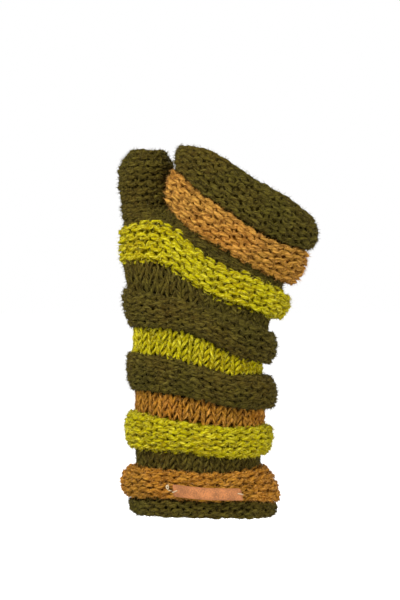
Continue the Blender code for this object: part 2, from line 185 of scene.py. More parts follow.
# An uneven hand: each loop strays from its place, and whole rows wander.
STRAY_ACROSS = 0.45       # in stitches
STRAY_UP = 0.55           # in rows
STRAY_OUT = 2.0 * MM
ROW_WANDER = 0.8          # in rows
STRAY_CIRCLE = 0.11       # radius of a row's circle through the noise, for each stitch
SEED_STEP = 7.3           # and how far apart the circles of two seeds lie

# How deep the loops of each wool stay: the olive is brushed the most.
WOOL_LOFT = {"olive": 0.72, "ochre": 1.0, "lime": 1.0}
WOOL_LOOKS = {
    # light, dark, rust, paling towards the hand end, sheen
    "olive": (1.75, 0.40, 0.45, 0.10, 0.15),
    "ochre": (1.60, 0.42, 0.40, 1.0, 0.10),
    "lime": (1.47, 0.54, 0.20, 0.0, 0.10),
}

CLOTH_DEPTH = 2.3         # from the outer face in to the cloth
CLOTH_THICKNESS = 0.5
CLOTH_LINES = 14

FORK_SEED = 20            # first seed of the fork's yarns
FUZZ_SEED = 11            # and of the fibres
FIBRE_SIDE = 0.15         # they grow where the yarn faces out by more than this (cosine)
FIBRE_STAND = 0.30        # how much they stand off the yarn rather than lie any way
FIBRE_SIZES = (0.45, 1.2)  # shortest and longest, in the length that is set
FIBRE_POINTS = 4          # three points at its root and one at its tip
FIBRE_CELL = np.array(((0.1, 0.1), (0.9, 0.1), (0.5, 0.9), (0.5, 0.4)))

LABEL_TURNS = np.linspace(0.6, 0.9, 181)  # the part of the welt's turn that it lies on
LABEL_COLUMNS = 47
LABEL_ROWS = 15
CORNER_POINTS = 6
LABEL_WAVE = 0.10         # how far its long edges lie off the welt in waves
LABEL_WAVES = 0.55        # how close the waves are (radians for each millimetre)
LABEL_FIRST_WAVE = 0.6    # and where they start (radians)
LABEL_BEVEL = 0.28        # width of its cut edge's bevel, in its thickness
THREAD_SIDES = 10
THREAD_STEPS = 5          # steps from one point of a thread's path to the next

FLOOR_HALF = 30000.0
LIGHT_TARGET = (0.0, 0.0, 0.04)
LIGHTS = (                # name, diameter and place (metres)
    ("key", 0.6, (-0.75, -1.0, 1.05)),
    ("side", 0.6, (1.25, -0.85, 0.05)),
    ("back", 0.8, (0.35, 1.3, 0.75)),
)
CAMERA_PLACE = (0.0, -1.45, 0.06014)
CAMERA_LENS = 140.3


# ---------------------------------------------------------------- node trees

def both_ways(operation):
    """What a wire makes before an arithmetic sign, and what it makes after it."""
    return (lambda wire, value: wire.graph.maths(operation, wire, value),
            lambda wire, value: wire.graph.maths(operation, value, wire))


class Wire:
    """A node's output that can stand in an expression."""

    def __init__(self, graph, socket):
        self.graph = graph
        self.socket = socket

    def other(self, name):
        return Wire(self.graph, self.socket.node.outputs[name])

    __add__, __radd__ = both_ways("ADD")
    __sub__, __rsub__ = both_ways("SUBTRACT")
    __mul__, __rmul__ = both_ways("MULTIPLY")
    __truediv__, __rtruediv__ = both_ways("DIVIDE")


class Graph:
    """Adds nodes to a shader or geometry tree."""

    def __init__(self, tree):
        self.tree = tree

    def node(self, kind, inputs=None, output=0, stops=(), **settings):
        """A node with its settings, a ramp's stops, and values or links for its sockets."""
        item = self.tree.nodes.new(kind)
        for name, value in settings.items():
            setattr(item, name, value)
        for order, (place, shade) in enumerate(stops):
            stop = item.color_ramp.elements[order]
            stop.position = place
            stop.color = (shade, shade, shade, 1.0)
        for key, value in (inputs or {}).items():
            if isinstance(value, Wire):
                self.tree.links.new(value.socket, item.inputs[key])
            else:
                item.inputs[key].default_value = value
        return Wire(self, item.outputs[output]) if item.outputs else item

    def maths(self, operation, *values):
        return self.node("ShaderNodeMath", dict(enumerate(values)), operation=operation)

    def vectors(self, operation, *values, output=0):
        return self.node("ShaderNodeVectorMath", dict(enumerate(values)), output,
                         operation=operation)

    def scaled(self, vector, factor):
        return self.node("ShaderNodeVectorMath", {0: vector, "Scale": factor},
                         operation="SCALE")

    def combine(self, x, y, z=0.0):
        return self.node("ShaderNodeCombineXYZ", {0: x, 1: y, 2: z})

    def split(self, vector):
        first = self.node("ShaderNodeSeparateXYZ", {0: vector})
        return first, first.other("Y"), first.other("Z")

    def noise(self, vector, scale, detail=2.0, roughness=0.5, output="Fac"):
        return self.node("ShaderNodeTexNoise",
                         {"Vector": vector, "Scale": scale, "Detail": detail,
                          "Roughness": roughness}, output)

    def ramp(self, factor, start, end, low=0.0, high=1.0):
        """Goes from low to high while the factor goes from start to end."""
        return self.node("ShaderNodeValToRGB", {0: factor},
                         stops=((start, low), (end, high)))

    def mix(self, factor, first, second):
        return self.node("ShaderNodeMix", {0: factor, 6: first, 7: second}, 2,
                         data_type="RGBA")

    def uv_map(self, name):
        return self.split(self.node("ShaderNodeUVMap", uv_map=name))

    def bump(self, height, strength, distance):
        return self.node("ShaderNodeBump",
                         {"Strength": strength, "Distance": distance, "Height": height})

    def named(self, name):
        return self.node("GeometryNodeInputNamedAttribute", {0: name},
                         data_type="FLOAT_VECTOR")


def tree_inputs(graph, shape, values):
    """Names the inputs of a geometry tree, and returns them as wires."""
    sockets = [(shape, "Geometry", None)]
    sockets += [(name, "Int" if isinstance(value, int) else "Float", value)
                for name, value in values.items()]
    sockets.append(("Wool", "Material", None))
    interface = graph.tree.interface
    for name, kind, value in sockets:
        socket = interface.new_socket(name=name, in_out="INPUT",
                                      socket_type="NodeSocket" + kind)
        if value is not None:
            socket.default_value = value
    interface.new_socket(name="Mesh", in_out="OUTPUT", socket_type="NodeSocketGeometry")
    source = graph.node("NodeGroupInput")
    return {name: source.other(name) for name, _, _ in sockets}


def tree_end(graph, mesh, material):
    """Realizes what the tree made, gives it its material and closes the tree."""
    smooth = graph.node("GeometryNodeSetShadeSmooth", {0: mesh})
    real = graph.node("GeometryNodeRealizeInstances", {0: smooth})
    painted = graph.node("GeometryNodeSetMaterial", {0: real, "Material": material})
    graph.node("NodeGroupOutput", {0: painted})


def courses_tree():
    """One closed course of loops for each row, on a guide surface."""
    graph = Graph(bpy.data.node_groups.new("Knitted courses", "GeometryNodeTree"))
    given = tree_inputs(graph, "Guide", {
        "Stitches": STITCHES, "Rows": 6, "Steps": STEPS, "Plies": SIDES // 2,
        "Loop Swing": 0.27, "Loop Rise": 0.75, "Loop Skew": 0.1, "Loop Depth": 0.95 * MM,
        "Yarn Thickness": 2.7 * MM, "Right Side": 1.0, "Lift": 0.0, "Margin": 0.1,
        "Unevenness": 1.0, "Seed": 1})
    stitches = given["Stitches"]
    rows = given["Rows"]
    per_row = stitches * given["Steps"]
    index = graph.node("GeometryNodeInputIndex")
    row = graph.maths("FLOOR", (index + 0.5) / per_row)
    place = (index - row * per_row) / given["Steps"]
    angle = place * FULL_TURN

    turn = angle / stitches
    reach = stitches * STRAY_CIRCLE
    seed = given["Seed"] * SEED_STEP
    around_x = graph.maths("COSINE", turn) * reach
    around_y = graph.maths("SINE", turn) * reach
    single = graph.noise(graph.combine(around_x, around_y, row * 0.9 + seed), 1.3, 1.0,
                         output="Color")
    off_x, off_y, off_z = graph.split(graph.vectors("SUBTRACT", single, (0.5, 0.5, 0.5)))
    shared = graph.noise(graph.combine(around_x, around_y, row * 0.25 + seed), 0.22, 0.0)
    uneven = given["Unevenness"]
    wander = (shared - 0.5) * uneven

    swing = given["Loop Swing"] * graph.maths("SINE", angle * 2.0)
    lowness = graph.maths("COSINE", angle)
    x = place + swing - lowness * given["Loop Skew"] + off_x * uneven * STRAY_ACROSS
    rise = given["Loop Rise"] * lowness
    y = row + 0.5 - rise + off_y * uneven * STRAY_UP + wander * ROW_WANDER
    bend = graph.maths("COSINE", angle * 2.0) * given["Loop Depth"] * given["Right Side"]
    sink = given["Loop Depth"] + given["Yarn Thickness"] * 0.5 - given["Lift"]
    height = off_z * uneven * STRAY_OUT - bend - sink

    margin = given["Margin"] * GUIDE_SHARE
    share = graph.maths("MINIMUM", graph.maths("MAXIMUM", y / rows, 0.0 - margin),
                        margin + 1.0)
    where = graph.combine(x / stitches, share)
    layout = graph.named("knit")

    def sampled(value):
        return graph.node("GeometryNodeSampleUVSurface",
                          {"Mesh": given["Guide"], "Value": value, "UV Map": layout,
                           "Sample UV": where}, data_type="FLOAT_VECTOR")

    base = sampled(graph.node("GeometryNodeInputPosition"))
    outwards = sampled(graph.named("outwards"))
    points = graph.node("GeometryNodePoints", {"Count": per_row * rows})
    lines = graph.node("GeometryNodePointsToCurves",
                       {0: points, "Curve Group ID": row, "Weight": index})
    closed = graph.node("GeometryNodeSetSplineCyclic", {0: lines, "Cyclic": True})
    centre = graph.vectors("ADD", base, graph.scaled(outwards, height))
    placed = graph.node("GeometryNodeSetPosition", {0: closed, "Position": centre})
    kept = graph.node("GeometryNodeStoreNamedAttribute",
                      {0: placed, "Name": "outwards", "Value": outwards},
                      data_type="FLOAT_VECTOR", domain="POINT")
    twist = turn * graph.maths("FLOOR", stitches * TWISTS) + row * ROW_TWIST
    twisted = graph.node("GeometryNodeSetCurveTilt", {0: kept, "Tilt": twist})
    profile = graph.node("GeometryNodeCurveStar",
                         {"Points": given["Plies"],
                          "Inner Radius": given["Yarn Thickness"] * PLY_RADII[0],
                          "Outer Radius": given["Yarn Thickness"] * PLY_RADII[1]})
    full = off_x * uneven * THICKER + 1.0
    yarn = graph.node("GeometryNodeCurveToMesh",
                      {"Curve": twisted, "Profile Curve": profile, "Scale": full})
    tree_end(graph, yarn, given["Wool"])
    return graph.tree


def fuzz_tree():
    """Short fibres that lie on the outer side of the yarn, or stand off it a little."""
    graph = Graph(bpy.data.node_groups.new("Wool fuzz", "GeometryNodeTree"))
    given = tree_inputs(graph, "Yarn", {
        "Density": 1400000.0, "Length": 2.7 * MM, "Thickness": 0.3 * MM, "Seed": 1})
    facing = graph.vectors("DOT_PRODUCT", graph.node("GeometryNodeInputNormal"),
                           graph.named("outwards"), output="Value")
    density = graph.maths("MAXIMUM", facing - FIBRE_SIDE, 0.0) * given["Density"]
    spots = graph.node("GeometryNodeDistributePointsOnFaces",
                       {"Mesh": given["Yarn"], "Density": density, "Seed": given["Seed"]})
    fibre = graph.node("GeometryNodeMeshCone",
                       {"Vertices": 3, "Side Segments": 1, "Fill Segments": 1,
                        "Radius Top": 0.0,
                        "Radius Bottom": given["Thickness"] / given["Length"] * 0.5,
                        "Depth": 1.0}, fill_type="NGON")
    loose = graph.node("FunctionNodeRandomValue",
                       {0: (-1.0, -1.0, -1.0), 1: (1.0, 1.0, 1.0), "Seed": given["Seed"]},
                       data_type="FLOAT_VECTOR")

    def chance(low, high, seed):
        return graph.node("FunctionNodeRandomValue",
                          {2: low, 3: high, "Seed": given["Seed"] + seed}, 1,
                          data_type="FLOAT")

    lean = graph.vectors("ADD", graph.scaled(spots.other("Normal"), FIBRE_STAND), loose)
    upright = graph.node("FunctionNodeAlignRotationToVector", {"Vector": lean}, axis="Z")
    roll = graph.node("FunctionNodeAxisAngleToRotation",
                      {"Axis": (0.0, 0.0, 1.0), "Angle": chance(0.0, FULL_TURN, 1)})
    turned = graph.node("FunctionNodeRotateRotation", {0: upright, 1: roll},
                        rotation_space="LOCAL")
    copies = graph.node("GeometryNodeInstanceOnPoints",
                        {"Points": spots, "Instance": fibre, "Rotation": turned,
                         "Scale": chance(*FIBRE_SIZES, 2) * given["Length"]})
    tree_end(graph, copies, given["Wool"])
    return graph.tree


# ---------------------------------------------------------------- settings

def measure(name, description, default, least=0.0, **others):
    """A length that is stated in millimetres."""
    return FloatProperty(name=name, description=description, default=default * MM,
                         min=least * MM, unit="LENGTH", precision=5, **others)


def number(name, description, default, least=0.0, **others):
    return FloatProperty(name=name, description=description, default=default, min=least,
                         **others)


def paint(name, description, default):
    return FloatVectorProperty(name=name, description=description, subtype="COLOR",
                               default=default, min=0.0, max=1.0)


class YarnSettings(bpy.types.PropertyGroup):
    band_row: measure("Band Row Height", "Height of one row of a flat band", 4.2, 1.0)
    welt_row: measure("Welt Row Height", "Height of one row of a welt or rolled edge", 4.9, 1.0)
    thumb_row: measure("Thumb Row Height", "Height of one row of the thumb", 4.3, 1.0)
    thickness: measure("Yarn Thickness", "Diameter of the yarn in the knitting", 2.7, 0.5)
    knit_thickness: measure(
        "Knit Side Thickness", "Diameter of the yarn where it is pulled flat", 2.35, 0.5)
    loop_swing: number(
        "Loop Swing", "How far a loop's neck is pulled in, in stitches", 0.27, max=0.4)
    loop_rise: number(
        "Loop Rise", "Half the height of a knit loop, in rows", 0.97, 0.4, max=1.2)
    purl_rise: number(
        "Purl Rise", "Half the height of a purl loop, in rows", 0.75, 0.4, max=1.2)
    loop_skew: number(
        "Loop Skew", "How far a loop leans over to one side, in stitches", 0.12, -0.4, max=0.4)
    loop_depth: measure("Loop Depth", "How far a loop's legs stand before its head", 0.95)
    lift: measure("Loft", "How far the airy yarn stands out of the plain surface", 0.6)
    unevenness: number(
        "Unevenness", "How far the loops stray from their places", 1.2, max=3.0)
    seed: IntProperty(name="Seed", description="Changes where the loops stray", default=5)


class FuzzSettings(bpy.types.PropertyGroup):
    length: measure("Fibre Length", "Length of the fibres that stand off the yarn", 2.7, 0.5)
    thickness: measure("Fibre Thickness", "Thickness of a stray fibre", 0.30, 0.02)
    olive_density: number(
        "Olive Density", "Fibres for each square metre of olive yarn", 1400000.0)
    plain_density: number(
        "Ochre and Lime Density", "Fibres for each square metre of the rest", 1050000.0)


class ColourSettings(bpy.types.PropertyGroup):
    olive: paint("Olive Wool", "Colour of the dark olive wool", (0.065, 0.049, 0.005))
    ochre: paint("Ochre Wool", "Colour of the ochre wool", (0.320, 0.141, 0.012))
    lime: paint("Lime Wool", "Colour of the yellow-green wool", (0.375, 0.320, 0.0))
    leather: paint("Leather", "Colour of the bare leather label", (0.47, 0.172, 0.050))
    thread: paint("Sewing Thread", "Colour of the label's thread", (0.76, 0.59, 0.34))


class LabelSettings(bpy.types.PropertyGroup):
    thickness: measure("Leather Thickness", "Thickness of the label", 1.4, 0.4)
    corner: measure("Corner Radius", "Roundness of the label's corners", 1.1, 0.1)
    thread: measure("Thread Thickness", "Diameter of the sewing thread", 0.6, 0.2)


class StageSettings(bpy.types.PropertyGroup):
    floor_drop: measure("Floor Drop", "From the cuff down to the floor", 62.0)
    floor_shade: paint("Floor Colour", "Colour of the pale floor", (0.80, 0.80, 0.80))
    floor_glow: number(
        "Floor Brightness", "How much the floor is brightened to white", 0.85)
    sky: number(
        "Surrounding Light", "Strength of the light from all round", 0.40, max=1.0)
    key: number(
        "Key Light", "Power of the large light above the thumb side, in watts", 27.0)
    side: number("Side Light", "Power of the light from the other side, in watts", 11.0)
    back: number("Back Light", "Power of the light on the palm side, in watts", 12.0)


class ArmWarmerSettings(bpy.types.PropertyGroup):
    yarn: PointerProperty(type=YarnSettings)
    fuzz: PointerProperty(type=FuzzSettings)
    colour: PointerProperty(type=ColourSettings)
    label: PointerProperty(type=LabelSettings)
    stage: PointerProperty(type=StageSettings)


def settings():
    return bpy.context.scene.arm_warmer


# ---------------------------------------------------------------- wool, leather, thread

def new_material(name):
    """A material, its graph, and the place on the solid piece to shade by."""
    material = bpy.data.materials.new(name)
    material.use_nodes = True
    graph = Graph(material.node_tree)
    return material, graph, graph.node("ShaderNodeTexCoord", output="Object")


def finish(material, values):
    """Sets the sockets of a material's shader, or links wires to them."""
    shader = material.node_tree.nodes["Principled BSDF"]
    for name, value in values.items():
        if isinstance(value, Wire):
            material.node_tree.links.new(value.socket, shader.inputs[name])
        else:
            shader.inputs[name].default_value = value
    return material


def tone(colour, factor, warmth=1.0, pale=0.0):
    """The colour made lighter or darker, with more or less red in it, or faded."""
    red, green, blue = (value * factor for value in colour)
    grey = (red + green) / 2.0
    shades = (red * warmth, green, blue)
    return (*(min(shade * (1.0 - pale) + grey * pale, 1.0) for shade in shades), 1.0)


def wool_material(name, colour, light, dark, rust, paling_up, sheen):
    """Heathered wool: fibre streaks along a twisted yarn, lighter and darker loops."""
    material, graph, solid = new_material(name)
    along, round_yarn, _ = graph.uv_map("strand")
    up = graph.split(solid)[2]

    # fibres lie along the yarn and turn round it with its twist
    twisted = graph.combine(along * 0.28, round_yarn * 8.0 + along * 0.9, up * 60.0)
    streaks = graph.noise(twisted, 1.0, 2.0, 0.6)
    plies = graph.maths("SINE", (round_yarn * 2.0 + along * 0.30) * FULL_TURN)
    loops = graph.noise(solid, 210.0, 1.0)
    patches = graph.noise(solid, 34.0, 2.0)
    specks = graph.noise(solid, 1500.0, 1.0)

    mottle = streaks * 0.58 + loops * 0.26 + plies * 0.04 + specks * 0.18
    shade = graph.ramp(mottle, 0.43, 0.60)
    body = graph.mix(shade, tone(colour, dark, 1.15), tone(colour, light, 0.97))
    # higher up, towards the hand end, the wool is made lighter and paler than at the cuff
    paler_tones = graph.mix(shade, tone(colour, dark * 1.45, 1.05, 0.05),
                       tone(colour, light * 1.40, 0.86, 0.06))
    body = graph.mix(graph.ramp(up * 5.0, 0.20, 0.50, high=paling_up), body, paler_tones)
    rusty = graph.ramp(patches, 0.46, 0.68, high=rust)
    body = graph.mix(rusty, body, tone(colour, 0.95, 1.30))
    greenish = graph.ramp(patches, 0.34, 0.50, rust, 0.0)
    body = graph.mix(greenish, body, tone(colour, 1.0, 0.84))
    pale = graph.ramp(streaks, 0.55, 0.67, high=0.6)
    body = graph.mix(pale, body, tone(colour, light * 1.45, 0.98, 0.10))

    relief = streaks * 0.9 + plies * 0.22 + specks * 0.35
    return finish(material, {
        "Base Color": body, "Roughness": 0.82 + streaks * 0.16,
        "Normal": graph.bump(relief, 0.85, 0.0007), "Sheen Weight": sheen,
        "Sheen Roughness": 0.45, "Sheen Tint": tone(colour, 3.0), "Specular IOR Level": 0.10})


def fibre_material(name, colour, light, sheen):
    """Stray fibres, paler than the yarn that they come from."""
    material, graph, solid = new_material(name)
    spread = graph.noise(solid, 700.0, 1.0)
    shade = graph.ramp(spread, 0.40, 0.62)
    body = graph.mix(shade, tone(colour, 0.6, 1.1), tone(colour, light, 0.98, 0.14))
    return finish(material, {
        "Base Color": body, "Roughness": 0.6 + spread * 0.3, "Sheen Weight": sheen,
        "Sheen Tint": tone(colour, 3.0), "Specular IOR Level": 0.15})


def gap_shade_material(name, colour):
    """The matted inner layer that shows between the loops, coloured as painted shade: a dark
    copy of the wool.
    """
    material, graph, solid = new_material(name)
    across, up, _ = graph.uv_map("rows")
    matted = graph.noise(solid, 900.0, 3.0, 0.7)
    waves = graph.maths("SINE", across * FULL_TURN)
    ridges = graph.maths("COSINE", up * FULL_TURN + waves)
    shade = graph.ramp(matted * 0.7 + ridges * 0.15 + 0.15, 0.30, 0.75)
    # painted shade: the cloth's tones are dark copies of the wool, for the shadow between the
    # loops
    body = graph.mix(shade, tone(colour, 0.14, 1.1), tone(colour, 0.42, 1.1))
    return finish(material, {
        "Base Color": body, "Roughness": 0.88 + matted * 0.1,
        "Normal": graph.bump(ridges * 0.4 + matted, 0.7, 0.0006), "Specular IOR Level": 0.0})


def leather_material(name, colour):
    """Undyed leather: fine grain, rubbed paler in the middle and darker at the cut edge."""
    material, graph, solid = new_material(name)
    across, up, _ = graph.uv_map("label")
    pores = graph.node("ShaderNodeTexVoronoi", {"Vector": solid, "Scale": 1900.0},
                       feature="DISTANCE_TO_EDGE")
    grain = graph.noise(solid, 1300.0, 3.0, 0.6)
    clouds = graph.noise(solid, 120.0, 3.0, 0.6)
    side = graph.maths("ABSOLUTE", across - 0.5) * 2.0
    edge_up = graph.maths("ABSOLUTE", up - 0.5) * 2.0
    rim = graph.maths("MAXIMUM", graph.maths("POWER", side, 26.0),
                      graph.maths("POWER", edge_up, 6.0))
    shade = graph.ramp(clouds * 0.45 + grain * 0.55, 0.41, 0.59)
    body = graph.mix(shade, tone(colour, 0.62, 0.98), tone(colour, 1.30))
    body = graph.mix(rim * 0.65, body, tone(colour, 0.55, 1.08))
    creases = graph.ramp(pores, 0.0, 0.12)
    return finish(material, {
        "Base Color": body, "Roughness": 0.5 + grain * 0.22,
        "Normal": graph.bump(creases * 0.5 + grain * 0.6, 0.6, 0.0003),
        "Specular IOR Level": 0.4})


def thread_material(name, colour):
    """Waxed linen thread with the twist of its strands."""
    material, graph, solid = new_material(name)
    along, round_thread, _ = graph.uv_map("strand")
    twist = graph.maths("SINE", (round_thread + along * 1.1) * (4.0 * math.pi))
    spread = graph.noise(solid, 900.0, 2.0)
    shade = twist * 0.3 + spread * 0.5 + 0.2
    body = graph.mix(shade, tone(colour, 0.62), tone(colour, 1.1))
    return finish(material, {
        "Base Color": body, "Roughness": 0.5 + spread * 0.2,
        "Normal": graph.bump(twist, 0.5, 0.0002), "Sheen Weight": 0.2})


def material_for(kind, wool):
    """The yarn, fibre or cloth material of one wool, made when it is first needed."""
    name = f"{wool}_{kind}"
    if name in bpy.data.materials:
        return bpy.data.materials[name]
    colour = tuple(getattr(settings().colour, wool))
    light, dark, rust, paling_up, sheen = WOOL_LOOKS[wool]
    if kind == "yarn":
        return wool_material(name, colour, light, dark, rust, paling_up, sheen)
    if kind == "fibre":
        return fibre_material(name, colour, light * 1.5, sheen)
    return gap_shade_material(name, colour)


# ---------------------------------------------------------------- surfaces of the stripes

def signed_power(values, exponent):
    return np.sign(values) * np.abs(values) ** exponent


def unit_rows(rows):
    return rows / np.linalg.norm(rows, axis=-1, keepdims=True)


def length_along(line):
    """How far each point of a line is from its first one, measured along it."""
    steps = np.linalg.norm(np.diff(line, axis=0), axis=1)
    return np.concatenate(([0.0], np.cumsum(steps)))


def section_angles(half_width, half_depth, turns):
    """Angles at the given parts of a turn, measured along the section's edge."""
    fine = np.linspace(0.0, FULL_TURN, EDGE_POINTS)
    across = half_width * signed_power(np.cos(fine), 2.0 / FULLNESS)
    deep = half_depth * signed_power(np.sin(fine), 2.0 / FULLNESS)
    length = length_along(np.stack((across, deep), axis=-1))
    return np.interp(turns * length[-1], length, fine)


def lift_across(seam, across):
    """A smooth lift, nothing at both ends, with three given values between them."""
    place = (across + 1.0) / 2.0
    values = (seam.lift_thumb, seam.lift_middle, seam.lift_far)
    total = np.zeros_like(across)
    for order in (1, 2, 3):
        share = sum(value * math.sin(order * math.pi * (step + 1) / 4.0)
                    for step, value in enumerate(values)) / 2.0
        total += share * np.sin(order * math.pi * place)
    return total


def ring(seam, turns):
    """Points on a seam and outward directions, from the far side round by the palm."""
    angles = section_angles(seam.half_width, seam.half_depth, np.asarray(turns) % 1.0)
    across = signed_power(np.cos(angles), 2.0 / FULLNESS)
    deep = signed_power(np.sin(angles), 2.0 / FULLNESS)
    tilt = math.radians(-seam.tilt)
    right = np.array((math.cos(tilt), 0.0, math.sin(tilt)))
    up = np.array((-math.sin(tilt), 0.0, math.cos(tilt)))
    back = np.array((0.0, 1.0, 0.0))
    centre = np.array((seam.centre_x, seam.centre_y, seam.centre_z))
    lift = lift_across(seam, across) * np.where(deep > 0.0, BACK_LIFT, 1.0)
    points = (centre
              + np.outer(seam.half_width * across, right)
              + np.outer(seam.half_depth * deep - seam.thumb_back * across, back)
              + np.outer(lift, up))
    outward = (np.outer(signed_power(across, FULLNESS - 1.0) / seam.half_width, right)
               + np.outer(signed_power(deep, FULLNESS - 1.0) / seam.half_depth, back))
    return points, unit_rows(outward), across


def stripe_line(stripe, turns):
    """A function that gives one line round a stripe, and the stripe's mean swell."""
    low, low_out, low_across = ring(SEAMS[stripe.first], turns)
    high, high_out, high_across = ring(SEAMS[stripe.last], turns)
    across = (low_across + high_across) / 2.0
    side = (stripe.bulge_far - stripe.bulge_thumb) / 2.0
    ends = (stripe.bulge_far + stripe.bulge_thumb) / 2.0 - stripe.bulge_back
    bulge = stripe.bulge_back + side * across + ends * across ** 2

    def line(along, out, swell):
        place = min(max(along, 0.0), 1.0)
        outward = unit_rows(low_out * (1.0 - place) + high_out * place)
        return (low * (1.0 - along) + high * along
                + outward * (out + bulge * swell)[:, None])

    return line, float(np.mean(bulge))


def stripe_lines(stripe, turns, places):
    """Points of a stripe's outer face, one line round it for each place from 0 to 1."""
    line, swell = stripe_line(stripe, turns)
    return np.array([line(*spot) for spot in section(stripe, places, swell)])


def section_at(stripe, angle):
    """One point of a stripe's section, at an angle of its arc (degrees)."""
    turn = math.radians(angle)
    if stripe.kind == "welt":
        end = math.radians(stripe.sweep)
        along = 0.5 + 0.5 * math.sin(turn) / math.sin(end)
        return along, 0.0, (math.cos(turn) - math.cos(end)) / (1.0 - math.cos(end))
    swell = max(math.cos(turn), 0.0)
    if stripe.name == "thumb_edge_roll" and turn < 0.0:
        share = 1.0 + math.sin(turn)
        swell = share * share * (3.0 - 2.0 * share)
    return 0.5 + 0.5 * math.sin(turn), stripe.lip * min(math.cos(turn), 0.0), swell


def section(stripe, places, bulge):
    """(along, out, swell) at places that lie evenly along the stripe's section. Places
    past a seam run straight on, under the neighbour."""
    if stripe.kind == "plain":
        return [(place, 0.0, max(1.0 - (2.0 * place - 1.0) ** 2, 0.0)) for place in places]
    start, end = (-90.0, CURL_END) if stripe.kind == "edge" else (-stripe.sweep, stripe.sweep)
    angles = np.linspace(start, end, ARC_POINTS)
    height = stripe_height(stripe)
    flat = np.array([(along * height, out + swell * bulge)
                     for along, out, swell in (section_at(stripe, angle) for angle in angles)])
    length = length_along(flat)
    share = length / length[-1]
    found = []
    for place in places:
        if place < 0.0:
            found.append((place * length[-1] / height, 0.0, 0.0))
        elif place > 1.0 and stripe.kind == "welt":
            found.append((1.0 + (place - 1.0) * length[-1] / height, 0.0, 0.0))
        elif place > 1.0:
            found.append(section_at(stripe, end + (end - start) * (place - 1.0) * 0.5))
        else:
            found.append(section_at(stripe, float(np.interp(place, share, angles))))
    return found


def stripe_height(stripe):
    turns = np.arange(AROUND) / AROUND
    low = ring(SEAMS[stripe.first], turns)[0]
    high = ring(SEAMS[stripe.last], turns)[0]
    return float(np.mean(np.linalg.norm(high - low, axis=1)))


def surface_normals(lines):
    """Directions out of a surface given as closed lines of points, one above another."""
    sideways = np.roll(lines, -1, axis=1) - np.roll(lines, 1, axis=1)
    upwards = np.gradient(lines, axis=0)
    normals = unit_rows(np.cross(sideways, upwards))
    centre = lines.mean(axis=(0, 1))
    middle = len(lines) // 2
    outside = np.einsum("ij,ij->i", normals[middle], lines[middle] - centre)
    return normals if outside.mean() > 0.0 else -normals


def measured(lines):
    """Mean length round a surface, and up it, in millimetres."""
    beside = np.linalg.norm(np.roll(lines, -1, axis=1) - lines, axis=2).sum(axis=1).mean()
    up = np.linalg.norm(np.diff(lines, axis=0), axis=2).sum(axis=0).mean()
    return float(beside), float(up)


# A surface to knit on: lines of points and of outward directions, the place of each line
# from 0 at its first row to 1 past its last one, how far it goes on beyond those two, its
# number of rows, and its two sizes in millimetres.
Surface = namedtuple("Surface", "lines outwards places margin rows around height")


def shared_out(lines, row_height):
    """How many rows a surface holds, its margin, and its two sizes."""
    around, height = measured(lines)
    rows = max(1, round(height / row_height))
    return MARGIN_ROWS / rows, rows, around, height


def stripe_surface(stripe, row_height):
    turns = np.arange(SURFACE_COLUMNS) / SURFACE_COLUMNS
    inner = np.linspace(0.0, 1.0, PLAIN_LINES if stripe.kind == "plain" else ROUND_LINES)
    margin, *sizes = shared_out(stripe_lines(stripe, turns, inner), row_height)
    places = np.concatenate(([-margin, -margin / 2.0], inner,
                             [1.0 + margin / 2.0, 1.0 + margin]))
    lines = stripe_lines(stripe, turns, places)
    return Surface(lines, surface_normals(lines), places, margin, *sizes)


def between(first, last, steps):
    """Lines of points from first up to, but not including, last."""
    return [first + (last - first) * step / steps for step in range(steps)]


def fork_surface():
    """The outer face where the widest ring parts into the hand and the thumb."""
    turns = np.arange(AROUND) / AROUND
    palm, palm_out, _ = ring(SEAMS["palm_3"], turns)
    hand, hand_out, _ = ring(SEAMS["knuckle_1"], turns)
    thumb, thumb_out, _ = ring(SEAMS["thumb_1"], np.arange(THUMB_AROUND) / THUMB_AROUND)
    start = (AROUND - THUMB_SHARE) // 2
    end = start + THUMB_SHARE
    quarter = THUMB_SHARE // 2
    drop = np.array((0.0, 0.0, WEB_DROP))
    web = [(hand[start + step] + thumb[(quarter - step) % THUMB_AROUND]) / 2.0 - drop
           for step in range(THUMB_SHARE + 1)]
    level = (palm + hand) / 2.0
    level[start], level[end] = web[0], web[-1]
    for place in range(start + 1, end):
        on_thumb = thumb[(place - start + quarter) % THUMB_AROUND]
        level[place] = (palm[place] + on_thumb) / 2.0

    points, faces, fixed = [], [], {}

    def add_line(line, normals=None):
        first = len(points)
        points.extend(line)
        if normals is not None:
            fixed.update({first + step: normal for step, normal in enumerate(normals)})
        return list(range(first, first + len(line)))

    def join(lower, upper):
        for step in range(len(lower)):
            beside = (step + 1) % len(lower)
            faces.append((lower[step], lower[beside], upper[beside], upper[step]))

    def inset(line, towards):
        return line + unit_rows(towards - line) * SEAM_GAP / 2.0

    below = [add_line(line, palm_out if step == 0 else None)
             for step, line in enumerate(between(inset(palm, level), level, FORK_STEPS))]
    level_ids = add_line(level)
    below.append(level_ids)
    web_ids = [level_ids[start]] + add_line(web[1:-1]) + [level_ids[end]]
    hand_ids = level_ids[:start] + web_ids + level_ids[end + 1:]
    thumb_ids = web_ids[quarter::-1] + level_ids[start + 1:end] + web_ids[:quarter:-1]
    parts = [below]
    for start_ids, rim, rim_out in ((hand_ids, hand, hand_out), (thumb_ids, thumb, thumb_out)):
        first = np.array([points[index] for index in start_ids])
        rim = inset(rim, first)
        part = [start_ids] + [add_line(line) for line in between(first, rim, FORK_STEPS)[1:]]
        part.append(add_line(rim, rim_out))
        parts.append(part)
    for part in parts:
        for lower, upper in zip(part, part[1:]):
            join(lower, upper)
    points = relaxed(np.array(points), faces, fixed)
    normals = face_normals(points, faces)
    for index, normal in fixed.items():
        normals[index] = normal
    return points, normals, faces, parts


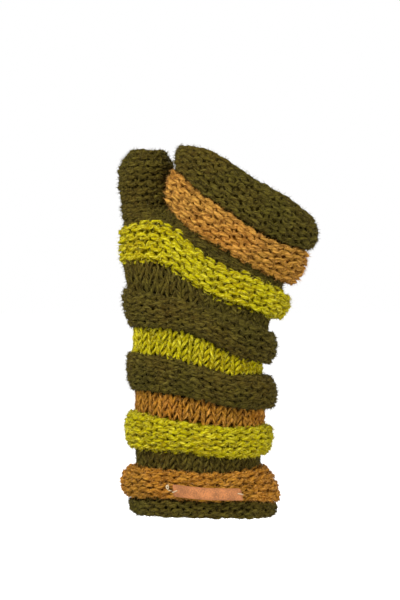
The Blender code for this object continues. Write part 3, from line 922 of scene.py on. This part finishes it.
def face_normals(points, faces):
    normals = np.zeros_like(points)
    for face in faces:
        first, second, third, fourth = (points[index] for index in face)
        normal = np.cross(third - first, fourth - second)
        for index in face:
            normals[index] += normal
    return unit_rows(normals)


def relaxed(points, faces, fixed):
    """Evens out the points between the rims."""
    neighbours = [set() for _ in points]
    for face in faces:
        for step, index in enumerate(face):
            neighbours[index].update((face[step - 1], face[(step + 1) % 4]))
    for _ in range(FORK_ROUNDS):
        moved = points.copy()
        for index, near in enumerate(neighbours):
            if index not in fixed:
                moved[index] = (points[index] + np.mean(points[sorted(near)], axis=0)) / 2.0
        points = moved
    return points


def fork_part_surface(points, normals, part, row_height):
    """One leg of the fork as a surface to knit on."""
    lines = np.array([points[ids] for ids in part])
    outwards = np.array([normals[ids] for ids in part])
    margin, *sizes = shared_out(lines, row_height)
    before = lines[0] - (lines[1] - lines[0]) * margin * (len(lines) - 1)
    after = lines[-1] + (lines[-1] - lines[-2]) * margin * (len(lines) - 1)
    lines = np.concatenate(([before], lines, [after]))
    outwards = np.concatenate((outwards[:1], outwards, outwards[-1:]))
    places = np.concatenate(([-margin], np.linspace(0.0, 1.0, len(part)), [1.0 + margin]))
    return Surface(lines, outwards, places, margin, *sizes)


# ---------------------------------------------------------------- meshes

def add_piece(name, mesh, material=None):
    if material is not None:
        mesh.materials.clear()
        mesh.materials.append(material)
    piece = bpy.data.objects.new(name, mesh)
    bpy.context.scene.collection.objects.link(piece)
    return piece


def evaluated_mesh(piece):
    """What the piece's modifiers make, as a plain mesh."""
    graph = bpy.context.evaluated_depsgraph_get()
    return bpy.data.meshes.new_from_object(piece.evaluated_get(graph))


def settled(piece):
    """The piece with its modifiers applied."""
    mesh = evaluated_mesh(piece)
    old = piece.data
    piece.modifiers.clear()
    piece.data = mesh
    bpy.data.meshes.remove(old)
    return piece


def set_map(mesh, name, values):
    """Writes a UV map from one pair of values for each face corner."""
    layer = mesh.uv_layers.get(name) or mesh.uv_layers.new(name=name, do_init=False)
    layer.data.foreach_set("uv", np.ascontiguousarray(values, dtype=np.float32).ravel())


def grid_faces(rows, columns, closed=False):
    """Four-sided faces between rows of points, which may join up with their own start."""
    return [(row * columns + step, row * columns + (step + 1) % columns,
             (row + 1) * columns + (step + 1) % columns, (row + 1) * columns + step)
            for row in range(rows - 1) for step in range(columns if closed else columns - 1)]


def new_mesh(name, points, faces):
    """A mesh from points in millimetres."""
    mesh = bpy.data.meshes.new(name)
    mesh.from_pydata((np.asarray(points).reshape(-1, 3) * MM).tolist(), [], faces)
    return mesh


def smooth_outwards(mesh):
    """Turns the faces out, and shades them smooth."""
    work = bmesh.new()
    work.from_mesh(mesh)
    bmesh.ops.recalc_face_normals(work, faces=work.faces)
    work.to_mesh(mesh)
    work.free()
    mesh.shade_smooth()


def opened(places, count):
    """Places round a closed ring, for each face, that don't jump back at its end."""
    first = np.where(np.ptp(places, axis=1) > 1, count - 1, places.min(axis=1))
    return first[:, None] + (places != first[:, None]), first


def corner_points(mesh):
    found = np.empty(len(mesh.loops), dtype=np.int32)
    mesh.loops.foreach_get("vertex_index", found)
    return found


def guide_mesh(name, surface):
    """The surface as an open mesh that goes on past its own start, for sampling."""
    columns = surface.lines.shape[1]
    picks = np.arange(-GUIDE_SPARE, columns + GUIDE_SPARE + 1)
    outwards = surface.outwards[:, picks % columns].reshape(-1, 3)
    mesh = new_mesh(name, surface.lines[:, picks % columns],
                    grid_faces(len(surface.lines), len(picks)))
    layout = np.stack(np.meshgrid(picks / columns, surface.places), axis=-1).reshape(-1, 2)
    set_map(mesh, "knit", layout[corner_points(mesh)])
    stored = mesh.attributes.new("outwards", "FLOAT_VECTOR", "POINT")
    stored.data.foreach_set("vector", outwards.astype(np.float32).ravel())
    return mesh


def grown(name, mesh, tree, values):
    """What a geometry tree makes of a mesh, as a plain mesh."""
    carrier = add_piece(name, mesh)
    modifier = carrier.modifiers.new("Work", "NODES")
    modifier.node_group = tree
    sockets = {item.name: item.identifier for item in tree.interface.items_tree
               if item.in_out == "INPUT"}
    for label, value in values.items():
        modifier[sockets[label]] = value
    made = evaluated_mesh(carrier)
    bpy.data.objects.remove(carrier, do_unlink=True)
    bpy.data.meshes.remove(mesh)
    return made


def lay_out_yarn(mesh, stitches, surface):
    """Maps along and round the yarn: one to shade by, and one to bake through."""
    per_row = stitches * STEPS
    corners = corner_points(mesh).reshape(-1, 4)
    ring_of, side = corners // SIDES, corners % SIDES
    row, step = ring_of[:, 0] // per_row, ring_of % per_row
    along, first_step = opened(step, per_row)
    around, _ = opened(side, SIDES)
    step_length = YARN_PER_STITCH * surface.around / stitches / STEPS
    set_map(mesh, "strand", np.stack((along * step_length, around / SIDES), axis=-1))

    girth = math.pi * settings().yarn.thickness / MM
    pieces = max(1, round(math.sqrt(per_row * step_length / (girth * surface.rows))))
    long = math.ceil(per_row / pieces)
    chunk = first_step // long
    across = (along - (chunk * long)[:, None]) / long
    inside = BAKE_GAP + (1.0 - 2.0 * BAKE_GAP) * around / SIDES
    up = ((row * pieces + chunk)[:, None] + inside) / (surface.rows * pieces)
    set_map(mesh, "OFBake", np.stack((across * 0.998 + 0.001, up), axis=-1))


def knit(name, surface, wool, right_side, stitches, first_seed):
    """Works the courses of one stripe and returns the yarn."""
    yarn = settings().yarn
    out = right_side > 0.0
    tight = out and wool != "olive"
    tree = bpy.data.node_groups.get("Knitted courses") or courses_tree()
    mesh = grown(name + "_guide", guide_mesh(name, surface), tree, {
        "Stitches": stitches, "Rows": surface.rows, "Steps": STEPS, "Plies": SIDES // 2,
        "Loop Swing": yarn.loop_swing,
        "Loop Rise": yarn.loop_rise if out else yarn.purl_rise,
        "Loop Skew": yarn.loop_skew * (1.0 if out else 0.5),
        "Loop Depth": yarn.loop_depth * WOOL_LOFT[wool] * (KNIT_DEPTH if out else 1.0),
        "Yarn Thickness": yarn.knit_thickness if tight else yarn.thickness,
        "Right Side": right_side, "Lift": yarn.lift,
        "Margin": surface.margin * (1.0 if out else 0.5),
        "Unevenness": yarn.unevenness,
        "Seed": yarn.seed + first_seed, "Wool": material_for("yarn", wool)})
    lay_out_yarn(mesh, stitches, surface)
    mesh.name = name
    return add_piece(name, mesh)


def cloth_tube(name, surface, wool):
    """The thin closed cloth of one stripe, which runs on a little under its neighbours,
    and its flat size."""
    picked = np.unique(np.linspace(1, len(surface.lines) - 2, CLOTH_LINES).round().astype(int))
    points = (surface.lines - surface.outwards * CLOTH_DEPTH)[picked, ::2]
    count, columns = points.shape[:2]
    mesh = new_mesh(name, points, grid_faces(count, columns, closed=True))
    corners = corner_points(mesh).reshape(-1, 4)
    across, _ = opened(corners % columns, columns)
    up = surface.places[picked][corners // columns]
    set_map(mesh, "rows", np.stack(
        (across / columns * STITCHES, up * surface.height * MM / settings().yarn.band_row),
        axis=-1))
    around, height = measured(points)
    return finish_cloth(name, mesh, wool), (around * MM, height * MM)


def finish_cloth(name, mesh, wool):
    smooth_outwards(mesh)
    piece = add_piece(name, mesh, material_for("cloth", wool))
    wall = piece.modifiers.new("Wall", "SOLIDIFY")
    wall.thickness = CLOTH_THICKNESS * MM
    wall.offset = -1.0
    return settled(piece)


# From the cuff to the fork, each stripe's cloth lies against that of the next one.
TO_FORK = [stripe.name for stripe in STRIPES[:10]] + ["olive_fork"]
NEIGHBOURS = {**dict(zip(TO_FORK, TO_FORK[1:])),
              "olive_fork": "lime_welt_upper", "ochre_welt_upper": "olive_fork",
              "finger_edge_welt": "ochre_welt_upper", "thumb_tube": "olive_fork",
              "thumb_edge_roll": "thumb_tube"}
# A stripe's cloth, with its flat size, its area and the yarn on it.
Sheet = namedtuple("Sheet", "node wool flat area pieces")
PENDING_SHEETS = []


def fit(piece):
    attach(piece, BODY)


def finish_stripe(node, wool, cloth, yarns, flat, area=None):
    """Puts a stripe's cloth and yarn in the place of its plain node."""
    for piece in (cloth, *yarns):
        fit(piece)
    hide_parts(node)
    PENDING_SHEETS.append(Sheet(node, wool, flat, area, [piece.name for piece in yarns]))


def make_stripe(stripe, order):
    """Cloth and yarn of one ring-shaped stripe."""
    rows = settings().yarn
    if stripe.name.startswith("thumb"):
        side, stitches, height = -1.0, THUMB_STITCHES, rows.thumb_row
    elif stripe.kind == "plain":
        side, stitches, height = 1.0, STITCHES, rows.band_row
    else:
        past_fork = stripe.first.startswith("knuckle")
        side, stitches, height = -1.0, HAND_STITCHES if past_fork else STITCHES, rows.welt_row
    surface = stripe_surface(stripe, height / MM)
    cloth, flat = cloth_tube(stripe.name + "_cloth", surface, stripe.wool)
    yarn = knit(stripe.name + "_yarn", surface, stripe.wool, side, stitches, order)
    finish_stripe(stripe.name, stripe.wool, cloth, [yarn], flat)


def make_stripes(kind):
    """Knits every stripe of one kind."""
    for order, stripe in enumerate(STRIPES):
        if stripe.kind == kind:
            make_stripe(stripe, order)


# ---------------------------------------------------------------- operators

class ARMWARMER_OT_welts(bpy.types.Operator):
    """Knit the hollow welts, with the purl side out"""
    bl_idname = "armwarmer.welts"
    bl_label = "Welts"

    def execute(self, context):
        make_stripes("welt")
        return {"FINISHED"}


class ARMWARMER_OT_bands(bpy.types.Operator):
    """Knit the flat bands, with the right side out, and the thumb's tube"""
    bl_idname = "armwarmer.bands"
    bl_label = "Flat Bands"

    def execute(self, context):
        make_stripes("plain")
        return {"FINISHED"}


class ARMWARMER_OT_edges(bpy.types.Operator):
    """Knit the edges that curl inwards at the cuff, the fingers and the thumb"""
    bl_idname = "armwarmer.edges"
    bl_label = "Rolled Edges"

    def execute(self, context):
        make_stripes("edge")
        return {"FINISHED"}


class ARMWARMER_OT_fork(bpy.types.Operator):
    """Knit the part where the tube parts into hand and thumb"""
    bl_idname = "armwarmer.fork"
    bl_label = "Thumb Fork"

    def execute(self, context):
        row_height = settings().yarn.thumb_row / MM
        points, normals, faces, parts = fork_surface()
        name = "olive_fork"
        mesh = new_mesh(name + "_cloth", points - normals * CLOTH_DEPTH, faces)
        corners = corner_points(mesh)
        set_map(mesh, "rows", points[corners][:, (0, 2)] / FORK_LOOP)
        area = sum(face.area for face in mesh.polygons)
        cloth = finish_cloth(name + "_cloth", mesh, "olive")
        yarns = []
        for part, label, count in zip(parts, ("base", "hand", "thumb"),
                                      (FORK_STITCHES, HAND_STITCHES, THUMB_STITCHES)):
            surface = fork_part_surface(points, normals, part, row_height)
            yarns.append(knit(f"{name}_{label}_yarn", surface, "olive", -1.0, count,
                              FORK_SEED + len(yarns)))
        finish_stripe(name, "olive", cloth, yarns, FORK_FLAT, area)
        return {"FINISHED"}


def lay_out_fibres(mesh):
    """A bake map with a small cell for each fibre."""
    corners = corner_points(mesh)
    fibre = corners // FIBRE_POINTS
    wide = math.ceil(math.sqrt(len(mesh.vertices) / FIBRE_POINTS))
    cell = np.stack((fibre % wide, fibre // wide), axis=-1)
    set_map(mesh, "OFBake", (cell + FIBRE_CELL[corners % FIBRE_POINTS]) / wide)


class ARMWARMER_OT_fuzz(bpy.types.Operator):
    """Raise the stray fibres of each wool"""
    bl_idname = "armwarmer.fuzz"
    bl_label = "Wool Fuzz"

    def execute(self, context):
        fuzz = settings().fuzz
        tree = fuzz_tree()
        for order, sheet in enumerate(PENDING_SHEETS):
            density = fuzz.olive_density if sheet.wool == "olive" else fuzz.plain_density
            work = bmesh.new()
            for yarn in sheet.pieces:
                work.from_mesh(bpy.data.objects[yarn].data)
            name = sheet.node + "_fuzz"
            mesh = bpy.data.meshes.new(name + "_base")
            work.to_mesh(mesh)
            work.free()
            made = grown(name + "_guide", mesh, tree, {
                "Density": density, "Length": fuzz.length, "Thickness": fuzz.thickness,
                "Seed": FUZZ_SEED + order, "Wool": material_for("fibre", sheet.wool)})
            lay_out_fibres(made)
            made.name = name
            fit(add_piece(name, made))
            sheet.pieces.append(name)
        return {"FINISHED"}


def label_place(across, up, out):
    """A point of the label: across and up it in millimetres, and out of the welt."""
    stripe = BY_NAME["ochre_welt_lower"]
    line_at, _ = stripe_line(stripe, LABEL_TURNS)
    line = line_at(*section_at(stripe, -LABEL_DROP))
    upwards = unit_rows(line_at(*section_at(stripe, 5.0 - LABEL_DROP)) - line)
    sideways = unit_rows(np.gradient(line, axis=0))
    outward = unit_rows(np.cross(sideways, upwards))
    length = length_along(line)
    middle = np.interp(0.0, line[:, 0], length) + LABEL_SHIFT
    across, up, out = np.broadcast_arrays(across, up, out)

    def at(rows):
        return np.stack([np.interp(middle + across, length, rows[:, axis])
                         for axis in range(3)], axis=-1)

    up = up - across * math.tan(math.radians(LABEL_TILT))
    return at(line) + at(upwards) * up[..., None] + at(outward) * out[..., None]


class ARMWARMER_OT_label(bpy.types.Operator):
    """Cut the bare leather label and bend it over the lowest welt"""
    bl_idname = "armwarmer.label"
    bl_label = "Leather Label"

    def execute(self, context):
        size = settings().label
        corner = size.corner / MM
        half_wide, half_high = LABEL_WIDTH / 2.0, LABEL_HEIGHT / 2.0
        easing = corner * (1.0 - np.cos(np.linspace(0.0, math.pi / 2.0, CORNER_POINTS)))
        start = -half_wide + easing
        middle = np.linspace(start[-1], -start[-1], LABEL_COLUMNS)[1:-1]
        across = np.concatenate((start, middle, -start[::-1]))
        shy = np.maximum(corner - (half_wide - np.abs(across)), 0.0)
        reach = half_high - corner + np.sqrt(np.maximum(corner ** 2 - shy ** 2, 0.0))
        share = np.linspace(-1.0, 1.0, LABEL_ROWS)
        up = share[:, None] * reach
        wide = np.broadcast_to(across, up.shape)
        wavy = LABEL_WAVE * np.sin(wide * LABEL_WAVES + LABEL_FIRST_WAVE) * share[:, None]
        out = (LABEL_SEAT + size.thickness / MM * 0.5
               - LABEL_CROWN * (up / half_high) ** 2 + wavy)
        points = label_place(wide, up, out)
        mesh = new_mesh("leather_label_strip", points, grid_faces(*up.shape))
        flat = np.stack((wide / LABEL_WIDTH + 0.5, up / LABEL_HEIGHT + 0.5), axis=-1)
        set_map(mesh, "label", flat.reshape(-1, 2)[corner_points(mesh)])
        mesh.shade_smooth()
        leather = leather_material("tan_leather", tuple(settings().colour.leather))
        piece = add_piece("leather_label_strip", mesh, leather)
        wall = piece.modifiers.new("Thickness", "SOLIDIFY")
        wall.thickness = size.thickness
        wall.offset = 0.0
        wall.use_even_offset = True
        edge = piece.modifiers.new("Cut edge", "BEVEL")
        edge.width = size.thickness * LABEL_BEVEL
        edge.segments = 3
        edge.limit_method = "ANGLE"
        edge.angle_limit = math.radians(50.0)
        settled(piece)
        fit(piece)
        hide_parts("leather_label")
        return {"FINISHED"}


def thread_tube(path, radius):
    """A round thread along a path of points in millimetres, with closed ends."""
    path = np.asarray(path, dtype=float)
    steps = np.linspace(0.0, len(path) - 1.0, (len(path) - 1) * THREAD_STEPS + 1)
    smooth = np.array([catmull(path, step) for step in steps])
    tangents = unit_rows(np.gradient(smooth, axis=0))
    normal = unit_rows(np.cross(tangents[0], (0.31, 0.2, 0.93)))
    rings = []
    for centre, tangent in zip(smooth, tangents):
        normal = unit_rows(normal - tangent * np.dot(normal, tangent))
        other = np.cross(tangent, normal)
        turn = np.arange(THREAD_SIDES) / THREAD_SIDES * FULL_TURN
        rings.append(centre + radius * (np.outer(np.cos(turn), normal)
                                        + np.outer(np.sin(turn), other)))
    points = np.concatenate(rings)
    count = len(smooth)
    faces = grid_faces(count, THREAD_SIDES, closed=True)
    faces.append(tuple(reversed(range(THREAD_SIDES))))
    faces.append(tuple(range((count - 1) * THREAD_SIDES, count * THREAD_SIDES)))
    return points, faces, length_along(smooth)


def catmull(path, place):
    """A point of the smooth curve through a path."""
    first = min(int(place), len(path) - 2)
    share = place - first
    before = path[max(first - 1, 0)]
    start, end = path[first], path[first + 1]
    after = path[min(first + 2, len(path) - 1)]
    return 0.5 * (2.0 * start + (end - before) * share
                  + (2.0 * before - 5.0 * start + 4.0 * end - after) * share ** 2
                  + (3.0 * (start - end) + after - before) * share ** 3)


def add_threads(name, paths, radius, material):
    points, faces, maps = [], [], []
    for path in paths:
        start = sum(len(part) for part in points)
        tube, tube_faces, length = thread_tube(path, radius)
        points.append(tube)
        for face in tube_faces:
            faces.append(tuple(index + start for index in face))
            turn = [index % THREAD_SIDES for index in face]
            wrap = max(turn) - min(turn) > 1 and len(face) == 4
            for index, side in zip(face, turn):
                shown = THREAD_SIDES if wrap and side == 0 else side
                maps.append((length[index // THREAD_SIDES], shown / THREAD_SIDES))
    mesh = new_mesh(name, np.concatenate(points), faces)
    set_map(mesh, "strand", np.array(maps))
    smooth_outwards(mesh)
    fit(add_piece(name, mesh, material))


class ARMWARMER_OT_thread(bpy.types.Operator):
    """Sew the label on at both ends, with a small knot beside it"""
    bl_idname = "armwarmer.thread"
    bl_label = "Label Thread"

    def execute(self, context):
        size = settings().label
        radius = size.thread / MM / 2.0
        linen = thread_material("linen_thread", tuple(settings().colour.thread))
        end = LABEL_WIDTH / 2.0
        top = LABEL_SEAT + size.thickness / MM
        paths = []
        for side, start, finish in ((-1.0, 0.2, -1.0), (1.0, 0.5, 0.0)):
            paths.append([label_place(side * (end + across), up, out)
                          for across, up, out in (
                              (-2.5, start, top - 1.2), (-2.4, start, top - 0.1),
                              (-1.9, start, top + 0.22),
                              (-0.9, (start + finish) / 2.0, top + 0.26),
                              (0.1, finish, top - 0.1), (0.8, finish - 0.2, top - 1.0))])
        add_threads("label_stitches", paths, radius, linen)
        knot = [label_place(-end + across, up, out) for across, up, out in (
            (-1.2, -0.6, 0.2), (-2.0, -0.3, 1.3), (-3.2, 0.4, 1.7), (-3.9, 1.6, 1.6),
            (-3.4, 2.7, 1.5), (-2.5, 2.6, 1.7), (-2.3, 1.6, 2.1), (-2.9, 0.8, 2.2),
            (-3.5, 1.3, 1.8), (-3.2, 2.2, 1.2), (-2.6, 3.4, 0.6))]
        add_threads("label_knot", [knot], radius, linen)
        return {"FINISHED"}


class ARMWARMER_OT_declare(bpy.types.Operator):
    """Go over each stripe's list of pieces, and change nothing"""
    bl_idname = "armwarmer.declare"
    bl_label = "Cloth Sizes"

    def execute(self, context):
        for sheet in PENDING_SHEETS:
            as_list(sheet.pieces)
        return {"FINISHED"}


def aimed(name, data, place, target):
    """Stands a light or a camera in its place, turned to a point."""
    holder = bpy.data.objects.new(name, data)
    holder.location = place
    aim = np.array(target) - np.array(place)
    holder.rotation_euler = (math.atan2(math.hypot(aim[0], aim[1]), -aim[2]), 0.0,
                             math.atan2(aim[1], aim[0]) - math.pi / 2.0)
    bpy.context.scene.collection.objects.link(holder)
    return holder


class ARMWARMER_OT_stage(bpy.types.Operator):
    """Set the floor, the lights and the camera"""
    bl_idname = "armwarmer.stage"
    bl_label = "Stage"

    def execute(self, context):
        stage = settings().stage
        scene = context.scene
        ground = (frame_box[0][2] - stage.floor_drop) / MM
        corners = [(x * FLOOR_HALF, y * FLOOR_HALF, ground)
                   for x, y in ((-1, -1), (1, -1), (1, 1), (-1, 1))]
        material, graph, _ = new_material("pale_floor")
        seen = graph.node("ShaderNodeLightPath")
        finish(material, {
            "Base Color": (*stage.floor_shade, 1.0), "Roughness": 0.9,
            "Emission Color": seen * stage.floor_glow, "Emission Strength": 1.0})
        add_piece("pale_floor", new_mesh("pale_floor", corners, [(0, 1, 2, 3)]),
                           material)

        # the paper behind is white to look at, and lights the piece only softly
        world = bpy.data.worlds.new("studio")
        world.use_nodes = True
        graph = Graph(world.node_tree)
        light = world.node_tree.nodes["Background"]
        light.inputs["Color"].default_value = (1.0, 1.0, 1.0, 1.0)
        seen = graph.node("ShaderNodeLightPath")
        strength = seen * (1.0 - stage.sky) + stage.sky
        graph.tree.links.new(strength.socket, light.inputs["Strength"])
        scene.world = world
        for name, size, place in LIGHTS:
            lamp = bpy.data.lights.new(name + "_light", "AREA")
            lamp.energy = getattr(stage, name)
            lamp.shape = "DISK"
            lamp.size = size
            aimed(name + "_light", lamp, place, LIGHT_TARGET)

        camera = bpy.data.cameras.new("camera")
        camera.lens = CAMERA_LENS
        camera.clip_end = 100.0
        scene.camera = aimed("camera", camera, CAMERA_PLACE, (0.0, 0.0, CAMERA_PLACE[2]))
        scene.view_settings.view_transform = "Standard"
        return {"FINISHED"}


class ARMWARMER_PT_panel(bpy.types.Panel):
    """Lists the steps that make the arm warmer"""
    bl_label = "Arm Warmer"
    bl_idname = "ARMWARMER_PT_panel"
    bl_space_type = "VIEW_3D"
    bl_region_type = "UI"
    bl_category = "Arm Warmer"

    def draw(self, context):
        for operator in OPERATORS:
            self.layout.operator(operator.bl_idname)
        for group in ("yarn", "fuzz", "colour", "label", "stage"):
            box = self.layout.box()
            values = getattr(context.scene.arm_warmer, group)
            for name in values.__annotations__:
                box.prop(values, name)


OPERATORS = (
    ARMWARMER_OT_stage,
    ARMWARMER_OT_welts,
    ARMWARMER_OT_bands,
    ARMWARMER_OT_edges,
    ARMWARMER_OT_fork,
    ARMWARMER_OT_fuzz,
    ARMWARMER_OT_label,
    ARMWARMER_OT_thread,
    ARMWARMER_OT_declare,
)
GROUPS = (YarnSettings, FuzzSettings, ColourSettings, LabelSettings, StageSettings,
          ArmWarmerSettings)


def register():
    for item in (*GROUPS, *OPERATORS, ARMWARMER_PT_panel):
        bpy.utils.register_class(item)
    bpy.types.Scene.arm_warmer = PointerProperty(type=ArmWarmerSettings)


def unregister():
    del bpy.types.Scene.arm_warmer
    for item in reversed((*GROUPS, *OPERATORS, ARMWARMER_PT_panel)):
        bpy.utils.unregister_class(item)


def main():
    register()
    for operator in OPERATORS:
        family, action = operator.bl_idname.split(".")
        getattr(getattr(bpy.ops, family), action)()


if __name__ == "__main__":
    main()
